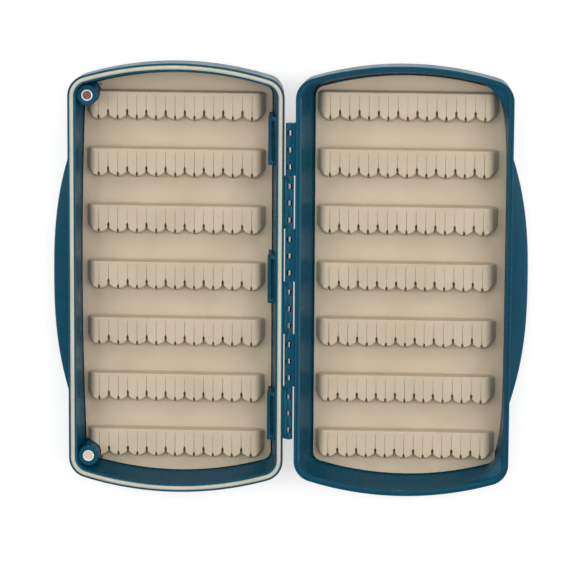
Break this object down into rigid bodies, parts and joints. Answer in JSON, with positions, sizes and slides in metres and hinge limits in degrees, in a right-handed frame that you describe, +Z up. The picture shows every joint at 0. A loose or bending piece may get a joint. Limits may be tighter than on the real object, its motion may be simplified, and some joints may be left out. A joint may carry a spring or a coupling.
{
  "type": "fly box",
  "caption": "Deep two-half fishing fly box, lying open: gasketed base and lid on a pin hinge, each with scalloped silicone ridges, side grips and corner magnets.",
  "frame": {"origin": "middle of the open box on the table, under the hinge axis", "axes": "+X from the base to the lid, +Y along the hinge towards the ridges' straight backs, +Z up out of both open halves"},
  "size_m": [0.1978, 0.182, 0.0209],
  "materials": {
    "shell_plastic": "satin moulded ABS, deep teal blue",
    "mat_silicone": "soft matt silicone, light tan",
    "gasket_silicone": "soft silicone bead, off-white",
    "pin_steel": "bright stainless wire",
    "magnet_nickel": "nickel plate"
  },
  "bodies": {
    "base": {"base_shell": "shell_plastic", "hinge_pin": "pin_steel", "rim_gasket": "gasket_silicone", "base_mat": "mat_silicone", "base_ridge_1": "mat_silicone", "base_ridge_2": "mat_silicone", "base_ridge_3": "mat_silicone", "base_ridge_4": "mat_silicone", "base_ridge_5": "mat_silicone", "base_ridge_6": "mat_silicone", "base_ridge_7": "mat_silicone", "base_magnet_upper": "magnet_nickel", "base_magnet_lower": "magnet_nickel", "slotted_tab_upper": "shell_plastic", "slotted_tab_middle": "shell_plastic", "slotted_tab_lower": "shell_plastic"},
    "lid": {"lid_shell": "shell_plastic", "lid_mat": "mat_silicone", "lid_ridge_1": "mat_silicone", "lid_ridge_2": "mat_silicone", "lid_ridge_3": "mat_silicone", "lid_ridge_4": "mat_silicone", "lid_ridge_5": "mat_silicone", "lid_ridge_6": "mat_silicone", "lid_ridge_7": "mat_silicone", "lid_magnet_upper": "magnet_nickel", "lid_magnet_lower": "magnet_nickel"}
  },
  "joints": [
    {"name": "lid_hinge", "type": "hinge", "parent": "base", "child": "lid", "pos_m": [0, 0, 0.0191], "axis": [0, -1, 0], "range_deg": [0, 180]}
  ]
}
